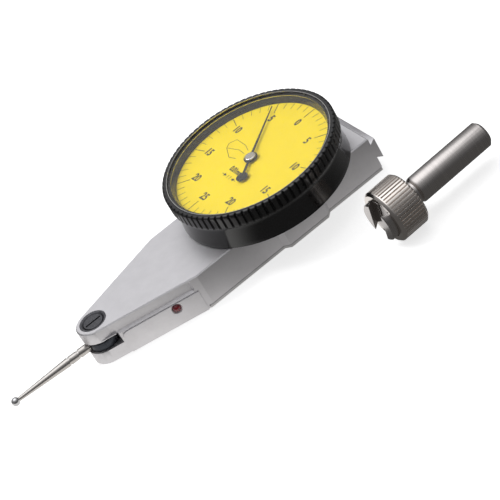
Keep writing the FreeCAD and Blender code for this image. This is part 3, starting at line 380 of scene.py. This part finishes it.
def flat_shape(outline):
    """A thin closed plate on the dial, as (points, faces)."""
    n = len(outline)
    points = [(x, y, PRINT) for x, y in outline]
    points += [(x, y, DIAL_FACE) for x, y in outline]
    faces = [tuple(range(n)), tuple(range(2 * n - 1, n - 1, -1))]
    faces += [(i, n + i, n + (i + 1) % n, (i + 1) % n) for i in range(n)]
    return points, faces


def stroke(a, b, width):
    """A straight line between two points of the face."""
    a, b = Vector(a), Vector(b)
    side = (b - a).normalized().orthogonal() * width / 2
    return flat_shape([a - side, b - side, b + side, a + side])


def joined(name, shapes):
    points, faces = [], []
    for more, sides in shapes:
        start = len(points)
        points += more
        faces += [tuple(start + i for i in side) for side in sides]
    return mesh_of(name, points, faces, smooth=False)


def on_face(right, up):
    """The part's x and y from the reader's right and up."""
    return (up, -right)


def text_mesh(words, height, right, up, narrow=0.8):
    """Words upright to the dial's zero, centred on a point of the face."""
    curve = bpy.data.curves.new("words", "FONT")
    curve.body = words
    curve.align_x, curve.align_y = "CENTER", "CENTER"
    curve.size = 1.0
    curve.fill_mode = "BOTH"
    curve.offset = 0.026
    curve.resolution_u = 6
    curve.extrude = 0.01
    obj = bpy.data.objects.new("words", curve)
    scene.collection.objects.link(obj)
    bpy.context.view_layer.update()
    mesh = bpy.data.meshes.new_from_object(
        obj.evaluated_get(bpy.context.evaluated_depsgraph_get()))
    bpy.data.objects.remove(obj)
    low = [min(v.co[i] for v in mesh.vertices) for i in (0, 1)]
    high = [max(v.co[i] for v in mesh.vertices) for i in (0, 1)]
    scale = height / (high[1] - low[1])
    middle = [(low[i] + high[i]) / 2 for i in (0, 1)]
    for v in mesh.vertices:
        r = (v.co.x - middle[0]) * scale * narrow + right
        u = (v.co.y - middle[1]) * scale + up
        x, y = on_face(r, u)
        v.co = Vector((x, y, PRINT if v.co.z > 0 else DIAL_FACE)) * MM
    return mesh


def merge_meshes(name, meshes):
    bm = bmesh.new()
    for mesh in meshes:
        bm.from_mesh(mesh)
        bpy.data.meshes.remove(mesh)
    bmesh.ops.remove_doubles(bm, verts=bm.verts, dist=1e-5 * MM)
    bmesh.ops.recalc_face_normals(bm, faces=bm.faces)
    merged = bpy.data.meshes.new(name)
    bm.to_mesh(merged)
    bm.free()
    return merged


def build_graduations():
    """Long ticks in dark ink and short ones in faint ink."""
    ticks, fine = [], []
    for i in range(DIVISIONS):
        angle = -2 * math.pi * i / DIVISIONS
        out = Vector((math.cos(angle), math.sin(angle)))
        if i % 5 == 0:
            ticks.append(stroke(out * 14.4, out * TICK_END, 0.14))
        else:
            fine.append(stroke(out * 15.6, out * TICK_END, 0.09))
    return joined("ticks", ticks), joined("fine", fine)


def build_words():
    words = []
    for i, label in enumerate(LABELS):
        angle = -2 * math.pi * i / len(LABELS)
        x = LABEL_RADIUS * math.cos(angle)
        y = LABEL_RADIUS * math.sin(angle)
        words.append(text_mesh(label, LABEL_HEIGHT, -y, x))
    words.append(text_mesh("0.01mm", 1.45, 0.0, UNIT_UP, 0.72))
    return words


def build_signs():
    """The space of one graduation: two lines between two arrows."""
    signs = []
    for side in (-1, 1):
        head = ((side * 1.9, MARK_UP + side * 0.42),
                (side * 1.9, MARK_UP - side * 0.42), (side * 1.1, MARK_UP))
        signs.append(flat_shape([on_face(*p) for p in head]))
    signs.append(stroke(on_face(-2.7, MARK_UP), on_face(-1.9, MARK_UP), 0.12))
    signs.append(stroke(on_face(1.9, MARK_UP), on_face(2.7, MARK_UP), 0.12))
    for right in (-0.45, 0.45):
        signs.append(stroke(on_face(right, MARK_UP - 0.5),
                            on_face(right, MARK_UP + 0.5), 0.1))
    return joined("signs", signs)


def build_sketch():
    """Outline of a nose and its stylus at a small working angle."""
    lines = [((-9.3, 1.9), (-5.6, 1.9)), ((-9.3, 1.9), (-10.1, 0.2)),
             ((-10.1, 0.2), (-9.3, -1.0)), ((-9.3, -1.0), (-5.6, 0.2)),
             ((-9.3, -1.0), (-5.9, -2.5)), ((-5.9, -2.5), (-3.9, -1.9)),
             ((-5.6, 0.2), (-3.4, 0.1)), ((-5.6, 1.9), (-3.4, 1.2))]
    return joined("lines", [stroke(on_face(*a), on_face(*b), 0.1)
                            for a, b in lines])


def build_dial_print():
    ticks, fine = build_graduations()
    figures = build_words() + [build_signs(), ticks]
    for name, meshes, ink in (("dial_figures", figures, print_ink),
                              ("dial_graduations", [fine], faint_ink),
                              ("dial_sketch", [build_sketch()], faint_ink)):
        piece(name, merge_meshes(name, meshes), ink, "bezel_unit")


# ------------------------------------------------------ softened CAD nodes

def soften_nodes():
    for node, width in (("body_frame", 0.09), ("back_cover", 0.05),
                        ("pointer_cap", 0.06), ("pivot_screw", 0.05),
                        ("pivot_bush", 0.04), ("stylus_holder", 0.05),
                        ("clamp_stem", 0.06), ("clamp_ring", 0.04),
                        ("stylus", 0.03), ("pointer", 0.03)):
        soften(node, width)


# ----------------------------------------------------------------- studio

def emission(tree, colour, strength):
    node = tree.nodes.new("ShaderNodeEmission")
    node.inputs["Color"].default_value = (*colour, 1)
    node.inputs["Strength"].default_value = strength
    return node


def build_world():
    """White to the camera; to the part, a wide soft box overhead in a dim
    room, brightest a little beyond the zenith as the camera sees it."""
    world = bpy.data.worlds.new("studio")
    scene.world = world
    world.use_nodes = True
    tree = world.node_tree
    tree.nodes.clear()
    new, link = tree.nodes.new, tree.links.new
    place = new("ShaderNodeTexCoord")
    toward = new("ShaderNodeVectorMath")
    toward.operation = "DOT_PRODUCT"
    toward.inputs[1].default_value = Vector((0.05, 0.25, 1)).normalized()
    link(place.outputs["Generated"], toward.inputs[0])
    half = new("ShaderNodeMath")
    half.operation = "MULTIPLY_ADD"
    half.inputs[1].default_value = 0.5
    half.inputs[2].default_value = 0.5
    link(toward.outputs["Value"], half.inputs[0])
    ramp = new("ShaderNodeValToRGB")
    ramp.color_ramp.interpolation = "EASE"
    # Degrees away from the soft box's middle, and the level there
    levels = ((110, 0.045), (85, 0.07), (65, 0.14), (50, 0.22), (36, 0.38),
              (24, 0.82), (10, 1.0))
    while len(ramp.color_ramp.elements) < len(levels):
        ramp.color_ramp.elements.new(0.5)
    for element, (away, painted_light_level) in zip(ramp.color_ramp.elements, levels):
        element.position = 0.5 + 0.5 * math.cos(math.radians(away))
        element.color = (painted_light_level, painted_light_level, painted_light_level * 1.01, 1)
    link(half.outputs["Value"], ramp.inputs["Fac"])
    studio = new("ShaderNodeBackground")
    studio.inputs["Strength"].default_value = 1.75
    link(ramp.outputs["Color"], studio.inputs["Color"])
    white = new("ShaderNodeBackground")
    white.inputs["Color"].default_value = (1, 1, 1, 1)
    path = new("ShaderNodeLightPath")
    mix = new("ShaderNodeMixShader")
    link(path.outputs["Is Camera Ray"], mix.inputs["Fac"])
    link(studio.outputs["Background"], mix.inputs[1])
    link(white.outputs["Background"], mix.inputs[2])
    link(mix.outputs["Shader"], new("ShaderNodeOutputWorld").inputs["Surface"])


def build_floor():
    """A pale floor: white to the camera, and to metal a table with a painted
    pool of light that is brightest beside the part and on the stylus side."""
    reach = 3.0
    mesh = bpy.data.meshes.new("floor")
    mesh.from_pydata([(-reach, -reach, 0), (reach, -reach, 0),
                      (reach, reach, 0), (-reach, reach, 0)], [],
                     [(0, 1, 2, 3)])
    floor = bpy.data.objects.new("floor", mesh)
    scene.collection.objects.link(floor)
    floor.location.z = -0.0001
    material = bpy.data.materials.new("floor")
    material.use_nodes = True
    tree = material.node_tree
    new, link = tree.nodes.new, tree.links.new

    def spread(socket, source, low, high):
        node = new("ShaderNodeMapRange")
        node.interpolation_type = "SMOOTHSTEP"
        for name, number in zip(("From Min", "From Max", "To Min", "To Max"),
                                (*source, low, high)):
            node.inputs[name].default_value = number
        link(socket, node.inputs["Value"])
        return node.outputs["Result"]

    def math_node(operation, a, b):
        node = new("ShaderNodeMath")
        node.operation = operation
        for socket, value in zip(node.inputs, (a, b)):
            if isinstance(value, float):
                socket.default_value = value
            else:
                link(value, socket)
        return node.outputs["Value"]

    place = new("ShaderNodeTexCoord")
    split = new("ShaderNodeSeparateXYZ")
    link(place.outputs["Object"], split.inputs["Vector"])
    # Painted light: a pool of light painted on the table beside the part,
    # brighter on the stylus side, seen only by metal
    beside = spread(math_node("ABSOLUTE", split.outputs["Y"], 0.0),
                    (11 * MM, 33 * MM), 1.0, 0.0)
    left = spread(split.outputs["X"], (-40 * MM, -12 * MM), 0.8, 0.3)
    right = spread(split.outputs["X"], (22 * MM, 32 * MM), 1.0, 0.3)
    painted_light_level = math_node("MULTIPLY", beside, math_node("MULTIPLY", left, right))
    painted_light_level = math_node("ADD", painted_light_level, 0.1)

    paint = tree.nodes["Principled BSDF"]
    paint.inputs["Base Color"].default_value = (0.6, 0.6, 0.6, 1)
    paint.inputs["Roughness"].default_value = 0.9
    paint.inputs["Specular IOR Level"].default_value = 0.0
    glow = emission(tree, (1, 1, 1), 0.72)
    lit = new("ShaderNodeAddShader")
    link(paint.outputs["BSDF"], lit.inputs[0])
    link(glow.outputs["Emission"], lit.inputs[1])
    # Painted light: the table glows to metal by the painted level above, in
    # place of lit floor
    painted_light_table = emission(tree, (1.0, 0.985, 0.965), 1.0)
    link(painted_light_level, painted_light_table.inputs["Strength"])
    path = new("ShaderNodeLightPath")
    glossy = new("ShaderNodeMixShader")
    link(path.outputs["Is Glossy Ray"], glossy.inputs["Fac"])
    link(paint.outputs["BSDF"], glossy.inputs[1])
    link(painted_light_table.outputs["Emission"], glossy.inputs[2])
    mix = new("ShaderNodeMixShader")
    link(path.outputs["Is Camera Ray"], mix.inputs["Fac"])
    link(glossy.outputs["Shader"], mix.inputs[1])
    link(lit.outputs["Shader"], mix.inputs[2])
    link(mix.outputs["Shader"],
         tree.nodes["Material Output"].inputs["Surface"])
    mesh.materials.append(material)


def soft_box(name, location, target, width, height, watts):
    data = bpy.data.lights.new(name, "AREA")
    data.shape, data.size, data.size_y = "RECTANGLE", width, height
    data.energy = watts
    lamp = bpy.data.objects.new(name, data)
    scene.collection.objects.link(lamp)
    lamp.location = location
    aim = Vector(target) - Vector(location)
    lamp.rotation_euler = aim.to_track_quat("-Z", "Y").to_euler()
    return lamp


def build_lights():
    key = soft_box("key", (-0.26, 0.22, 0.5), (0, 0, 0), 0.22, 0.22, 1.3)
    key.visible_glossy = False
    # A small reflector beside the clamp ring brightens its end face
    low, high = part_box("clamp_ring")
    end = Vector((low.x, (low.y + high.y) / 2, (low.z + high.z) / 2))
    spot = end + Vector((-0.19, 0.8, -0.57)) * 8 * MM
    soft_box("ring_card", spot, end, 16 * MM, 16 * MM, 5e-4)


def build_camera():
    """A long lens from the near side, rolled."""
    azimuth, elevation = math.radians(13.42), math.radians(34.74)
    distance, roll = 0.45165, math.radians(31.06)
    aim = Vector((-0.01111, -0.00309, 0.0))
    back = Vector((-math.sin(azimuth) * math.cos(elevation),
                   -math.cos(azimuth) * math.cos(elevation),
                   math.sin(elevation)))
    data = bpy.data.cameras.new("camera")
    data.sensor_width, data.lens = 36.0, 153.9
    data.clip_start, data.clip_end = 0.01, 20.0
    camera = bpy.data.objects.new("camera", data)
    scene.collection.objects.link(camera)
    turn = (-back).to_track_quat("-Z", "Y").to_matrix()
    camera.matrix_world = (Matrix.Translation(aim + back * distance)
                           @ (turn @ Matrix.Rotation(-roll, 3, "Z")).to_4x4())
    scene.camera = camera


build_bezel()
build_dial_print()
soften_nodes()
build_world()
build_floor()
build_lights()
build_camera()
scene.view_settings.view_transform = "Standard"
